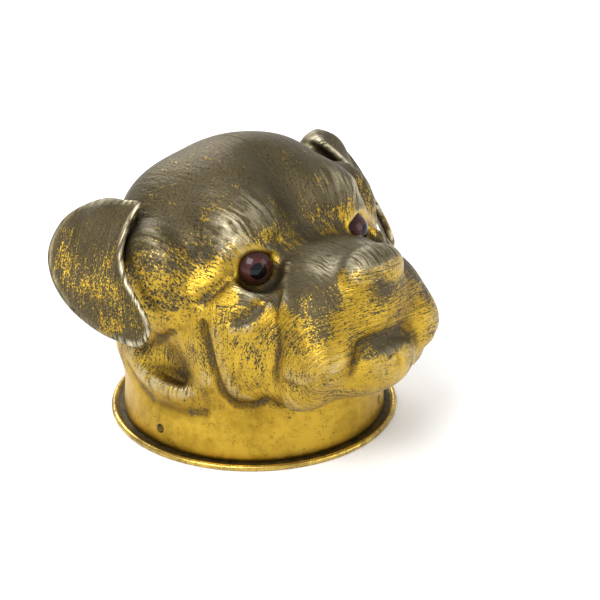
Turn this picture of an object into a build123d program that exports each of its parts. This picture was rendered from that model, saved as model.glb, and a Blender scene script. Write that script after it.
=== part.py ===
from build123d import *
import math
import os
import numpy as np

# Novelty inkwell: a pressed brass dog's head, hinged at the back of a round
# base plate, that opens over a porcelain ink pot.
# Millimetres, +Z up, origin on the desk under the middle of the base plate.
# The dog looks along -Y, its left side is +X.

# ---- driving dimensions ----
PLATE_R = 38.0           # base plate, over its rolled bead
PLATE_T = 1.0
BEAD_R = 0.75            # section radius of the rolled bead
HEAD_GAP = 0.1           # air between the closed head and the plate
NECK_R_LOW = 34.7        # plain neck band, outside, at the plate
NECK_R_HIGH = 33.4       # and where the fur begins
NECK_TOP_Z = 18.0
WALL = 1.3               # pressed sheet of the head

COLLAR_R = 31.2          # upstanding ring that centres the closed head
COLLAR_T = 0.9
COLLAR_TOP = 6.5
COLLAR_FOOT = 3.0
COLLAR_FOOT_T = 0.6

LINER_T = 0.8            # stiffening ring inside the neck
LINER_LOW = 1.4
LINER_TOP = 10.0
LINER_GAP = 0.03
RIVET_R = 0.8
RIVET_HEAD_R = 1.2
RIVET_HEAD_T = 0.35
RIVET_SINK = 0.05        # how far a rivet's head overlaps its own shank
NECK_RIVET_Z = 5.4
NECK_RIVET_TURNS = (-176.0, -59.0, 67.0)
NECK_RING_Z = 5.5        # second ring of the plain neck band
HOLLOW_LOW = -1.0        # the head's hollow runs out past the neck's foot

POT_R = 16.0             # porcelain pot
POT_LOW = PLATE_T + 0.9
POT_TOP = 29.0
POT_MOUTH_R = 7.5
POT_WELL_R = 12.0
POT_WELL_FLOOR = 7.0
GALLERY_T = 0.8          # spun cup that holds the pot
GALLERY_GAP = 0.45
GALLERY_TOP = 12.0
GALLERY_LIP = 1.0        # its turned-out rim
GALLERY_RIVET_RING = 8.0
# The pot's outline as (radius, z): its outside, and its foot's recess.
POT_OUTSIDE = [
    (11.5, POT_LOW), (14.5, POT_LOW), (POT_R, POT_LOW + 1.5), (POT_R, 22.5),
    (14.6, 24.6), (11.2, 25.6), (10.2, 26.6), (10.6, 28.4), (10.0, POT_TOP),
]
POT_INSIDE = [
    (POT_MOUTH_R, POT_TOP), (POT_MOUTH_R, 24.0), (POT_WELL_R, 21.0), (POT_WELL_R, 10.5),
    (8.5, POT_WELL_FLOOR), (0, POT_WELL_FLOOR),
]
POT_FOOT = [(0, POT_LOW + 1.4), (11.0, POT_LOW + 1.4)]

HINGE_Y = 36.9
HINGE_Z = 3.9
KNUCKLE_R = 1.7
PIN_R = 0.9
PIN_CLEAR = 0.05
HEAD_KNUCKLE_HALF = 3.3
KNUCKLE_GAP = 0.25
BASE_KNUCKLE_L = 5.0
LEAF_T = 0.8
LEAF_FOOT_R = 37.0       # foot of the base leaf, a strip of a ring under the knuckles
LEAF_FOOT_GAP = 0.7      # air between it and the neck band
LEAF_EAR_R = (36.6, 33.6)  # outer and inner radius of its longer, riveted ears
LEAF_EAR_HALF = 13.0
LEAF_EAR_GAP = 0.4
LEAF_ZONE = (30, 40, 0, 5)  # y and z range in which the foot's rings are kept
LEAF_WEB_HALF = 0.9      # half the thickness of the webs that carry the knuckles
LEAF_WEB_SINK = 0.2
LEAF_RIVET_AT = (11.2, 35.2)
LEAF_RIVET_R = 0.7
LEAF_RIVET_HEAD_R = 1.1
HEAD_LEAF_WEB = (33.0, 0.3, 0.3, 2.3)  # inner y, then steps from the pin: y, low z, high z
HEAD_LEAF_PLATE = (-0.35, 31.0, 6.0, 13.2)  # outside less the neck, inside, low, high
HEAD_LEAF_ZONE = (-9, 9, 20, 40, 0, 20)
HEAD_LEAF_TURNS = (80.5, 99.5)
HEAD_LEAF_RIVET_Z = 9.5
HEAD_LEAF_RIVET_R = 0.8
HEAD_LEAF_RIVET_HEAD_R = 1.3
HEAD_LEAF_RIVET_HEAD_T = 0.4
HEAD_LEAF_RIVET_SINK = 0.02
PIN_CAP_R = 1.3
PIN_CAP_T = 0.6
BORE_SPARE = 1.0         # a cutting rod runs this far past both ends

EYE_AT = (17.3, -20.6, 50.9)
EYE_R = 4.8
EYE_TURN = 26.0          # degrees that each eye looks outward
EYE_RISE = 0.08          # and its slope upward
EYE_DEPTH = 2.0          # the glass ball's centre, behind the eye's middle
EYE_BACK = -1.5          # flat back of the glass, from the ball's centre
PUPIL_R = 2.3
PUPIL_FRONT = 3.4
EYE_FIT = 0.02           # air round the glass
EYE_BORE_OUT = 10.0      # how far the hole for the glass runs out of the head
EYE_CUP_T = 1.2          # wall of the cup behind the glass
EYE_CUP_FLOOR = 0.9
EYE_CUP_L = 8.0          # cut off by the head's inner wall

# Ear: a flat flap, its middle, the way its face looks, and its outline
# across and along that face.
EAR_AT = (45.8, 7.5, 50.9)
EAR_TURN = 56.7
EAR_TILT = 34.7
EAR_T = 2.4
EAR_ROOT_AT = (36.0, 13.5, 52.5)
EAR_ROOT_RADII = (10.0, 6.0, 11.0)
EAR_OUTLINE = [
    (-9.0, 17.5), (-7.0, 10.5), (-6.5, 4.5), (-8.5, -1.5), (-12.0, -6.0), (-15.5, -11.0),
    (-16.0, -15.0), (-13.5, -18.0), (-8.5, -17.5), (-3.0, -15.5), (3.0, -12.0), (7.5, -8.0),
    (10.5, -3.5), (12.0, 2.0), (11.5, 7.5), (9.0, 12.5), (4.5, 16.0), (-2.5, 17.5),
]

# ---- the head as clay lumps: name, middle, radii, blend ----
# Every lump is an ellipsoid, doubled by symmetry about the YZ plane.
LUMPS = [
    ("skull", (0, 4.5, 44), (31.7, 30, 28), 4),
    ("crown", (0, 4, 54.8), (25, 18.5, 17), 6),
    ("brow", (14.3, -9, 56), (11.2, 12.3, 10.8), 4),
    ("temple", (14.5, 12, 52), (14.5, 14.5, 14.5), 6),
    ("ear_base", (33.5, 1, 48), (6.5, 10, 15), 8),
    ("cheek", (19, -10, 36), (14, 17, 16), 7),
    ("nape", (0, 10, 22), (32.5, 25, 16), 6),
    ("jowl", (20, -17, 26), (11, 12, 10), 6),
    ("cheek_front", (19.5, -21.5, 35), (9.5, 10.5, 15), 5),
    ("core", (0, -24, 35), (15.5, 22, 16.5), 3),
    ("throat", (0, -3, 24), (29, 29.5, 14), 3),
    ("muzzle", (0, -32, 45.2), (17.2, 16.4, 10.4), 5),
    ("nose", (0, -43.4, 52), (9, 6, 6), 4),
    ("lips", (0, -41, 42), (13, 8, 8), 3),
    ("flew", (12.6, -35.2, 37.5), (9.6, 12.3, 12.5), 4),
    ("flew_front", (15.5, -40.5, 34), (7.5, 8.7, 8.2), 3),
    ("flew_low", (17.3, -38.5, 30.5), (6.4, 7.5, 5.6), 2.5),
    ("jaw", (0, -33, 27), (20, 17.5, 9.3), 3.5),
    ("jaw_corner", (15.5, -35, 24.5), (8.3, 8.5, 7), 3),
    ("chin", (0, -44.6, 29.8), (10.5, 8.9, 7.8), 2.5),
]
NOSE_TIP = ((0, -43.4, 51.8), (9.4, 6.4, 6.4))       # middle and radii
CHIN_TIP = ((0, -44.6, 29.8), (10.5, 9.0, 7.8))

# The head is lofted through cuts that fan about a line under the chin, from
# level at the neck to upright at the muzzle, and then march to the lips.
FAN_LINE = (-40.0, 11.0)                 # y, z of that line
FAN_TURNS = [8.0 * k for k in range(12)]  # 0 to 88 degrees
FAN_REACH = ((0, 45, 70, 90), (40, 42, 33, 26))
MUZZLE_CUTS = [(-42.5, 37.5), (-44.5, 38.5), (-46.5, 40.0), (-47.8, 40.5)]
POINTS_ROUND = 44
TRACE_STEPS = 40


def soft_min(a, b, blend):
    """The union of two lumps with a rounded join."""
    h = np.maximum(blend - np.abs(a - b), 0) / blend
    return np.minimum(a, b) - h * h * blend / 4


def lump_distance(points, middle, radii):
    """Roughly how far each point is outside an ellipsoid."""
    local = points - np.array(middle)
    radii = np.array(radii, float)
    near = np.linalg.norm(local / radii, axis=-1)
    slope = np.linalg.norm(local / radii**2, axis=-1)
    return near * (near - 1) / np.maximum(slope, 1e-9)


def neck_distance(points):
    """How far each point is outside the tapered neck tube."""
    rise = np.clip(points[..., 2] / NECK_TOP_Z, 0, 1)
    out = np.hypot(points[..., 0], points[..., 1])
    out = out - (NECK_R_LOW + (NECK_R_HIGH - NECK_R_LOW) * rise)
    above = np.maximum(points[..., 2] - NECK_TOP_Z, 0)
    return np.where(above > 0, np.hypot(np.maximum(out, 0), above), out)


def head_distance(points):
    """How far each point is outside the whole head."""
    folded = np.array(points, float)
    folded[..., 0] = np.abs(folded[..., 0])
    out = neck_distance(folded)
    for _, middle, radii, blend in LUMPS:
        out = soft_min(out, lump_distance(folded, middle, radii), blend)
    return out


def head_ring(middle, up, depth):
    """A closed wire where a cut through middle meets the head, depth under its skin."""
    turns = np.linspace(0, 2 * np.pi, POINTS_ROUND, endpoint=False)
    across = np.outer(np.cos(turns), (1, 0, 0))
    rays = across + np.outer(np.sin(turns), up)
    reach = np.zeros(POINTS_ROUND)
    for _ in range(TRACE_STEPS):
        reach = reach - (head_distance(middle + rays * reach[:, None]) + depth)
    corners = middle + rays * reach[:, None]
    return Wire([Edge.make_spline([Vector(*p) for p in corners], periodic=True)])


def level_ring(radius, z):
    """The neck's exact circle, with its seam where the head's rings have theirs."""
    turns = np.linspace(0, 2 * np.pi, POINTS_ROUND, endpoint=False)
    corners = [Vector(radius * np.cos(t), radius * np.sin(t), z) for t in turns]
    return Wire([Edge.make_spline(corners, periodic=True)])


def neck_radius(z):
    return NECK_R_LOW + (NECK_R_HIGH - NECK_R_LOW) * z / NECK_TOP_Z


def head_solid(depth, low_z, muzzle_cuts):
    """The head, filled, depth under its skin and open from low_z."""
    rings = [level_ring(neck_radius(z) - depth, z) for z in (low_z, NECK_RING_Z)]
    line_y, line_z = FAN_LINE
    for turn in FAN_TURNS:
        up = np.array([0, math.cos(math.radians(turn)), math.sin(math.radians(turn))])
        reach = np.interp(turn, *FAN_REACH)
        middle = np.array([0, line_y, line_z]) + up * reach
        rings.append(head_ring(middle, up, depth))
    for y, z in muzzle_cuts:
        rings.append(head_ring(np.array([0, y, z]), np.array([0, 0, 1.0]), depth))
    return skinned(rings)


def skinned(rings):
    """A solid whose skin runs straight from each ring to the next."""
    edges = [wire.edges()[0] for wire in rings]
    faces = [Face.make_surface_from_curves(a, b) for a, b in zip(edges[:-1], edges[1:])]
    faces = faces + [Face(rings[0]), Face(rings[-1])]
    return Solid(Shell(faces))


def egg(middle, radii):
    return Pos(*middle) * scale(Sphere(1), radii)


def mirrored(shape):
    return mirror(shape, about=Plane.YZ)


def ring(outer, inner, low, high):
    """A plain upright tube."""
    tube = Cylinder(outer, high - low, align=(Align.CENTER, Align.CENTER, Align.MIN))
    bore = Cylinder(inner, high - low, align=(Align.CENTER, Align.CENTER, Align.MIN))
    return Pos(0, 0, low) * (tube - bore)


def spun(profile):
    """A solid turned about Z from its (radius, z) outline."""
    corners = [(r, 0, z) for r, z in profile]
    face = make_face(Polyline(*corners, close=True))
    return revolve(face, Axis.Z, 360)


# ---- base ----
def gallery_rivets():
    shanks = []
    for k in range(3):
        turn = math.radians(90 + 120 * k)
        x = GALLERY_RIVET_RING * math.cos(turn)
        y = GALLERY_RIVET_RING * math.sin(turn)
        up = (Align.CENTER, Align.CENTER, Align.MIN)
        shank = Cylinder(RIVET_R, PLATE_T + GALLERY_T, align=up)
        head = Pos(0, 0, PLATE_T + GALLERY_T) * Cylinder(RIVET_HEAD_R, RIVET_HEAD_T, align=up)
        shanks.append(Pos(x, y, 0) * (shank + head))
    return shanks


def base_plate(holes):
    disc = Cylinder(PLATE_R - BEAD_R, PLATE_T, align=(Align.CENTER, Align.CENTER, Align.MIN))
    bead = Pos(0, 0, BEAD_R) * Torus(PLATE_R - BEAD_R, BEAD_R)
    plate = disc + bead
    for hole in holes:
        plate = plate - hole
    return plate


def locating_collar():
    wall = ring(COLLAR_R, COLLAR_R - COLLAR_T, PLATE_T, COLLAR_TOP)
    foot = ring(COLLAR_R, COLLAR_R - COLLAR_FOOT, PLATE_T, PLATE_T + COLLAR_FOOT_T)
    return wall + foot


def pot_gallery(holes):
    inner = POT_R + GALLERY_GAP
    floor_top = PLATE_T + GALLERY_T
    cup = spun([
        (0, PLATE_T), (inner + GALLERY_T, PLATE_T),
        (inner + GALLERY_T, GALLERY_TOP - GALLERY_LIP),
        (inner + 2 * GALLERY_T, GALLERY_TOP - GALLERY_LIP), (inner + 2 * GALLERY_T, GALLERY_TOP),
        (inner, GALLERY_TOP), (inner, floor_top), (0, floor_top),
    ])
    for hole in holes:
        cup = cup - hole
    return cup


def ink_pot():
    return spun(POT_OUTSIDE + POT_INSIDE + POT_FOOT)


# ---- hinge ----
def barrel(x_low, x_high, bore):
    length = x_high - x_low
    tube = Cylinder(KNUCKLE_R, length) - Cylinder(bore, length)
    return Pos((x_low + x_high) / 2, HINGE_Y, HINGE_Z) * (Rot(0, 90, 0) * tube)


def block(x_low, x_high, y_low, y_high, z_low, z_high):
    middle = ((x_low + x_high) / 2, (y_low + y_high) / 2, (z_low + z_high) / 2)
    return Pos(*middle) * Box(x_high - x_low, y_high - y_low, z_high - z_low)


def bore_cut(x_half, radius):
    return Pos(0, HINGE_Y, HINGE_Z) * (Rot(0, 90, 0) * Cylinder(radius, 2 * x_half))


def base_leaf_rivets():
    up = (Align.CENTER, Align.CENTER, Align.MIN)
    pins = []
    x_out, y = LEAF_RIVET_AT
    for x in (-x_out, x_out):
        shank = Cylinder(LEAF_RIVET_R, PLATE_T + LEAF_T, align=up)
        head = Pos(0, 0, PLATE_T + LEAF_T) * Cylinder(LEAF_RIVET_HEAD_R, RIVET_HEAD_T, align=up)
        pins.append(Pos(x, y, 0) * (shank + head))
    return pins


def hinge_base_leaf(holes):
    inner = HEAD_KNUCKLE_HALF + KNUCKLE_GAP
    outer = inner + BASE_KNUCKLE_L
    foot = ring(LEAF_FOOT_R, NECK_R_LOW + LEAF_FOOT_GAP, PLATE_T, PLATE_T + LEAF_T)
    foot = foot & block(-outer, outer, *LEAF_ZONE)
    ears = ring(*LEAF_EAR_R, PLATE_T, PLATE_T + LEAF_T)
    ears = ears & block(-LEAF_EAR_HALF, LEAF_EAR_HALF, *LEAF_ZONE)
    clear_neck = Cylinder(NECK_R_LOW + LEAF_EAR_GAP, NECK_TOP_Z)
    foot = foot + (ears - clear_neck)
    leaf = foot
    for side in (-1, 1):
        x_low, x_high = sorted((side * inner, side * outer))
        y_low, y_high = HINGE_Y - LEAF_WEB_HALF, HINGE_Y + LEAF_WEB_HALF
        web = block(x_low, x_high, y_low, y_high, PLATE_T + LEAF_WEB_SINK, HINGE_Z)
        web = web & Cylinder(PLATE_R, NECK_TOP_Z)
        leaf = leaf + web + barrel(x_low, x_high, PIN_R)
    leaf = leaf - bore_cut(outer + BORE_SPARE, PIN_R)
    leaf = leaf - bead_clear()
    for hole in holes:
        leaf = leaf - hole
    return leaf


def bead_clear():
    return Pos(0, 0, BEAD_R) * Torus(PLATE_R - BEAD_R, BEAD_R)


def hinge_pin():
    outer = HEAD_KNUCKLE_HALF + KNUCKLE_GAP + BASE_KNUCKLE_L
    shaft = Cylinder(PIN_R, 2 * outer)
    cap = Cylinder(PIN_CAP_R, PIN_CAP_T)
    cap_at = outer + PIN_CAP_T / 2
    pin = shaft + Pos(0, 0, cap_at) * cap + Pos(0, 0, -cap_at) * cap
    return Pos(0, HINGE_Y, HINGE_Z) * (Rot(0, 90, 0) * pin)


def radial(radius, low, high, turn, z):
    """A short rod that points outward from the Z axis."""
    rod = Cylinder(radius, high - low, align=(Align.CENTER, Align.CENTER, Align.MIN))
    return Rot(0, 0, turn) * (Pos(low, 0, z) * (Rot(0, 90, 0) * rod))


def head_leaf_rivets():
    pins = []
    z = HEAD_LEAF_RIVET_Z
    face = neck_radius(z)
    inside = face - WALL - HEAD_LEAF_RIVET_SINK
    outside = face + LEAF_T
    for turn in HEAD_LEAF_TURNS:
        shank = radial(HEAD_LEAF_RIVET_R, inside, outside, turn, z)
        tip = outside + HEAD_LEAF_RIVET_HEAD_T
        head = radial(HEAD_LEAF_RIVET_HEAD_R, outside - RIVET_SINK, tip, turn, z)
        pins.append(shank + head)
    return pins


def hinge_head_leaf(head_filled, holes):
    half = HEAD_KNUCKLE_HALF
    y_in, past_pin, low, high = HEAD_LEAF_WEB
    web = block(-half, half, y_in, HINGE_Y + past_pin, HINGE_Z + low, HINGE_Z + high)
    over_neck, inside, low, high = HEAD_LEAF_PLATE
    plate = ring(NECK_R_LOW + over_neck + LEAF_T, inside, low, high) & block(*HEAD_LEAF_ZONE)
    leaf = web + plate + barrel(-half, half, PIN_R + PIN_CLEAR)
    leaf = leaf - bore_cut(half + BORE_SPARE, PIN_R + PIN_CLEAR)
    leaf = leaf - head_filled
    for hole in holes:
        leaf = leaf - hole
    return keep_largest(leaf)


def keep_largest(shape):
    return max(shape.solids(), key=lambda s: s.volume)


# ---- head ----
def neck_rivets():
    pins = []
    for turn in NECK_RIVET_TURNS:
        face = neck_radius(NECK_RIVET_Z)
        inner = face - WALL - LINER_GAP - LINER_T
        shank = radial(RIVET_R, inner, face, turn, NECK_RIVET_Z)
        head = radial(RIVET_HEAD_R, face - RIVET_SINK, face + RIVET_HEAD_T, turn, NECK_RIVET_Z)
        pins.append(shank + head)
    return pins


def neck_liner(holes):
    low = neck_radius(LINER_LOW) - WALL - LINER_GAP
    high = neck_radius(LINER_TOP) - WALL - LINER_GAP
    sleeve = spun([
        (low, LINER_LOW), (high, LINER_TOP), (high - LINER_T, LINER_TOP), (low - LINER_T, LINER_LOW),
    ])
    for hole in holes:
        sleeve = sleeve - hole
    return sleeve


def eye_frame():
    """The left eye's own frame: its middle is the glass ball's, its Z looks out."""
    turn = math.radians(EYE_TURN)
    look = Vector(math.sin(turn), -math.cos(turn), EYE_RISE).normalized()
    return Plane(origin=Vector(*EYE_AT) - look * EYE_DEPTH, z_dir=look)


def along_eye(shape):
    return eye_frame().location * shape


def pupil():
    up = (Align.CENTER, Align.CENTER, Align.MIN)
    rod = Pos(0, 0, EYE_BACK) * Cylinder(PUPIL_R, PUPIL_FRONT - EYE_BACK, align=up)
    return rod & Sphere(PUPIL_FRONT)


def eye():
    side = 4 * EYE_R
    down = (Align.CENTER, Align.CENTER, Align.MAX)
    behind = Pos(0, 0, EYE_BACK) * Box(side, side, side, align=down)
    return Sphere(EYE_R) - behind - pupil()


def eye_hole():
    up = (Align.CENTER, Align.CENTER, Align.MIN)
    return Cylinder(EYE_R + EYE_FIT, EYE_BORE_OUT, align=up) + Sphere(EYE_R + EYE_FIT)


def eye_cup():
    up = (Align.CENTER, Align.CENTER, Align.MIN)
    cup = Pos(0, 0, EYE_BACK - EYE_CUP_FLOOR) * Cylinder(EYE_R + EYE_CUP_T, EYE_CUP_L, align=up)
    well = Pos(0, 0, EYE_BACK) * Cylinder(EYE_R + EYE_FIT, EYE_CUP_L, align=up)
    return cup - well


def ear_frame():
    turn, tilt = math.radians(EAR_TURN), math.radians(EAR_TILT)
    look = (math.cos(tilt) * math.sin(turn), -math.cos(tilt) * math.cos(turn), math.sin(tilt))
    across = (math.cos(turn), math.sin(turn), 0)
    return Plane(origin=EAR_AT, x_dir=across, z_dir=look)


def ear_blank():
    outline = make_face(Spline(*EAR_OUTLINE, periodic=True))
    flap = ear_frame().location * extrude(outline, -EAR_T)
    return flap + ear_root()


def ear_root():
    """The boss behind the flap that meets the skull."""
    return egg(EAR_ROOT_AT, EAR_ROOT_RADII)


def write(name, shape):
    export_step(shape, os.path.join("parts", name + ".step"))


def build_base():
    rivets = gallery_rivets()
    leaf_rivets = base_leaf_rivets()
    write("base_plate", base_plate(rivets + leaf_rivets))
    write("locating_collar", locating_collar())
    write("pot_gallery", pot_gallery(rivets))
    write("gallery_rivets", Compound(rivets))
    write("hinge_base_leaf", hinge_base_leaf(leaf_rivets))
    write("base_leaf_rivets", Compound(leaf_rivets))
    write("hinge_pin", hinge_pin())
    write("ink_pot", ink_pot())


def build_head():
    filled = head_solid(0.0, PLATE_T + HEAD_GAP, MUZZLE_CUTS)
    filled = Part() + filled + egg(*NOSE_TIP) + egg(*CHIN_TIP)
    hollow = head_solid(WALL, HOLLOW_LOW, MUZZLE_CUTS[:-1])
    pins = neck_rivets()
    leaf_pins = head_leaf_rivets()
    shell = filled
    for hole in [along_eye(eye_hole()), mirrored(along_eye(eye_hole()))] + pins + leaf_pins:
        shell = shell - hole
    shell = keep_largest(shell - hollow)
    write("head_shell", shell)
    write("neck_liner", neck_liner(pins + leaf_pins))
    write("neck_rivets", Compound(pins))
    write("hinge_head_leaf", hinge_head_leaf(filled, leaf_pins))
    write("head_leaf_rivets", Compound(leaf_pins))
    cup = along_eye(eye_cup())
    write("eye_cup_left", keep_largest(cup & hollow))
    write("eye_cup_right", keep_largest(mirrored(cup) & hollow))
    flap = ear_blank()
    write("ear_left", keep_largest(flap - filled))
    write("ear_right", keep_largest(mirrored(flap) - filled))
    for name, piece in [("eye", along_eye(eye())), ("pupil", along_eye(pupil()))]:
        write(name + "_left", piece)
        write(name + "_right", mirrored(piece))


def main():
    os.makedirs("parts", exist_ok=True)
    build_base()
    build_head()


if __name__ == "__main__":
    main()
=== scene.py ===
# %% [markdown]
# # A dog's-head inkwell
# A novelty inkwell of gilt pressed brass. The head is hinged at the back of a round
# flanged base and opens over a white porcelain pot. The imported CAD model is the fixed
# frame: it says where every piece is. This lesson gives each piece its final surface.

# %% Load the frame
import bpy
import math
import numpy as np
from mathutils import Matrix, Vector


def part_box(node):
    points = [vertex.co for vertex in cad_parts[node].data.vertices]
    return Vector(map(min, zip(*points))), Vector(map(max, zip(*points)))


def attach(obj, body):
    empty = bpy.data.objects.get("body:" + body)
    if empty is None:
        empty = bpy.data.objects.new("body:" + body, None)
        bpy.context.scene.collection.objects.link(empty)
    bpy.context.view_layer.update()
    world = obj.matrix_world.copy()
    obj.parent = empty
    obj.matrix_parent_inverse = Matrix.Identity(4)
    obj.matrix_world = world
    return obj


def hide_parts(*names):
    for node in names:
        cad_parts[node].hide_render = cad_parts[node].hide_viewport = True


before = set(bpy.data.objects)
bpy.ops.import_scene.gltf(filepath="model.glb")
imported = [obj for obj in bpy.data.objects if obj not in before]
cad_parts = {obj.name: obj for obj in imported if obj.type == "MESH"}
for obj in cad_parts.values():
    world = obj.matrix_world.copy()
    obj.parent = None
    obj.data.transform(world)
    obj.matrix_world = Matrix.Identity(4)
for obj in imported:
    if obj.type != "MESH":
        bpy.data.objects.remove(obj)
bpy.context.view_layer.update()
MM = 0.001


# %% [markdown]
# ## Small helpers
# Operators act on whatever is selected, and the loaded nodes start selected. So every
# new piece begins by clearing the selection, and a few helpers keep that in one place.

# %% Selecting and finishing pieces
def select_only(*objs):
    bpy.ops.object.select_all(action="DESELECT")
    for obj in objs:
        obj.select_set(True)
    bpy.context.view_layer.objects.active = objs[0]


def new_piece(name, primitive, **settings):
    """Adds a primitive with nothing else selected, and puts its place in its mesh."""
    bpy.ops.object.select_all(action="DESELECT")
    primitive(**settings)
    piece = bpy.context.active_object
    piece.name = name
    piece.data.name = name
    bpy.ops.object.transform_apply(location=True, rotation=True, scale=True)
    return piece


def joined(name, pieces):
    select_only(*pieces)
    bpy.ops.object.join()
    pieces[0].name = name
    return pieces[0]


def apply_modifier(piece, kind, **settings):
    select_only(piece)
    modifier = piece.modifiers.new(kind.title(), kind)
    for key, value in settings.items():
        setattr(modifier, key, value)
    bpy.ops.object.modifier_apply(modifier=modifier.name)


def smooth_by_angle(piece, degrees):
    select_only(piece)
    bpy.ops.object.shade_smooth_by_angle(angle=math.radians(degrees))


def tidy_normals(piece):
    """Merges doubles, then turns every face outward."""
    select_only(piece)
    bpy.ops.object.mode_set(mode="EDIT")
    bpy.ops.mesh.select_all(action="SELECT")
    bpy.ops.mesh.remove_doubles(threshold=1e-6)
    bpy.ops.mesh.normals_make_consistent(inside=False)
    bpy.ops.object.mode_set(mode="OBJECT")


def hand_in(piece, material, body, slot, *nodes):
    """Gives a finished piece its material, its body and the nodes it replaces; the slot is not used."""
    piece.data.materials.clear()
    piece.data.materials.append(material)
    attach(piece, body)
    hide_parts(*nodes)
    print(f"{piece.name}: {len(piece.data.polygons)} faces, rides on {body}")


# %% [markdown]
# ## Writing materials
# A finish here is a node tree. `put` adds one node and wires or sets its inputs, so a
# material reads as a list of what feeds what. Effects that several finishes share are
# node groups that give out only masks, heights and colours.

# %% Node helpers
def put(tree, kind, inputs=None, **settings):
    node = tree.nodes.new(kind)
    for key, value in settings.items():
        setattr(node, key, value)
    for key, value in (inputs or {}).items():
        if isinstance(value, bpy.types.NodeSocket):
            tree.links.new(value, node.inputs[key])
        else:
            node.inputs[key].default_value = value
    return node


def calc(tree, operation, a, b=0.0, clamp=False):
    node = put(tree, "ShaderNodeMath", {0: a, 1: b}, operation=operation, use_clamp=clamp)
    return node.outputs[0]


def blend_values(tree, a, b, share):
    """Most of a with a share of b."""
    kept = calc(tree, "MULTIPLY", a, 1 - share)
    return calc(tree, "ADD", kept, calc(tree, "MULTIPLY", b, share))


def blend_colour(tree, factor, a, b):
    node = put(tree, "ShaderNodeMix", {0: factor, 6: a, 7: b}, data_type="RGBA")
    return node.outputs[2]


def fade(tree, value, low, high, out_low=0.0, out_high=1.0):
    """Maps low..high to out_low..out_high, and stops at both ends."""
    node = put(tree, "ShaderNodeMapRange", {
        "Value": value, "From Min": low, "From Max": high,
        "To Min": out_low, "To Max": out_high}, clamp=True)
    return node.outputs[0]


def noise(tree, vector, scale, detail=3.0, roughness=0.55):
    node = put(tree, "ShaderNodeTexNoise", {
        "Vector": vector, "Scale": scale, "Detail": detail, "Roughness": roughness})
    return node.outputs[0]


def attribute(tree, name, output="Fac"):
    return put(tree, "ShaderNodeAttribute", attribute_name=name).outputs[output]


def place(tree):
    return put(tree, "ShaderNodeTexCoord").outputs["Object"]


def new_group(name, inputs, outputs):
    """A shader node group with named sockets: {name: (socket type, value)}."""
    group = bpy.data.node_groups.new(name, "ShaderNodeTree")
    for key, (kind, value) in inputs.items():
        socket = group.interface.new_socket(key, in_out="INPUT", socket_type=kind)
        if value is not None:
            socket.default_value = value
    for key, kind in outputs.items():
        group.interface.new_socket(key, in_out="OUTPUT", socket_type=kind)
    return group, put(group, "NodeGroupInput").outputs, put(group, "NodeGroupOutput").inputs


def use_group(tree, group, inputs):
    node = put(tree, "ShaderNodeGroup", node_tree=group)
    for key, value in inputs.items():
        if isinstance(value, bpy.types.NodeSocket):
            tree.links.new(value, node.inputs[key])
        else:
            node.inputs[key].default_value = value
    return node.outputs


def new_material(name):
    material = bpy.data.materials.new(name)
    material.use_nodes = True
    tree = material.node_tree
    return material, tree, tree.nodes["Principled BSDF"].inputs


def set_shader(tree, sockets, values):
    for key, value in values.items():
        if isinstance(value, bpy.types.NodeSocket):
            tree.links.new(value, sockets[key])
        else:
            sockets[key].default_value = value


def bump(tree, height, distance, strength=1.0, under=None):
    inputs = {"Height": height, "Distance": distance, "Strength": strength}
    if under is not None:
        inputs["Normal"] = under
    return put(tree, "ShaderNodeBump", inputs).outputs[0]


# %% [markdown]
# ## Effects that old brass shares
# *Pitting* is the black pepper of pinholes in the gilding. *Tarnish* is the slow cloudy
# darkening. *Hair* is a value that runs in long strokes, for fur chased into the metal:
# noise stretched along one axis of a flow map that each fur piece carries.

# %% Pitting, tarnish and hair groups
def pitting_group():
    group, given, made = new_group(
        "pitting",
        {"Vector": ("NodeSocketVector", None), "Scale": ("NodeSocketFloat", 900.0),
         "Size": ("NodeSocketFloat", 0.16)},
        {"Mask": "NodeSocketFloat"})
    cells = put(group, "ShaderNodeTexVoronoi",
                {"Vector": given["Vector"], "Scale": given["Scale"], "Randomness": 1.0})
    spot = put(group, "ShaderNodeMapRange", {
        "Value": cells.outputs["Distance"], "From Min": 0.0, "From Max": given["Size"],
        "To Min": 1.0, "To Max": 0.0}, clamp=True).outputs[0]
    where = noise(group, given["Vector"], 260.0, 2.0)
    chosen = fade(group, where, 0.5, 0.58)
    group.links.new(calc(group, "MULTIPLY", spot, chosen), made["Mask"])
    return group


def tarnish_group():
    group, given, made = new_group(
        "tarnish",
        {"Vector": ("NodeSocketVector", None), "Amount": ("NodeSocketFloat", 0.5)},
        {"Mask": "NodeSocketFloat", "Fine": "NodeSocketFloat"})
    broad = noise(group, given["Vector"], 70.0, 5.0, 0.62)
    fine = noise(group, given["Vector"], 520.0, 4.0, 0.6)
    both = blend_values(group, broad, fine, 0.3)
    level = calc(group, "SUBTRACT", 0.78, calc(group, "MULTIPLY", given["Amount"], 0.5))
    span = calc(group, "SUBTRACT", both, level)
    group.links.new(fade(group, span, -0.08, 0.12), made["Mask"])
    group.links.new(fine, made["Fine"])
    return group


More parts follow.
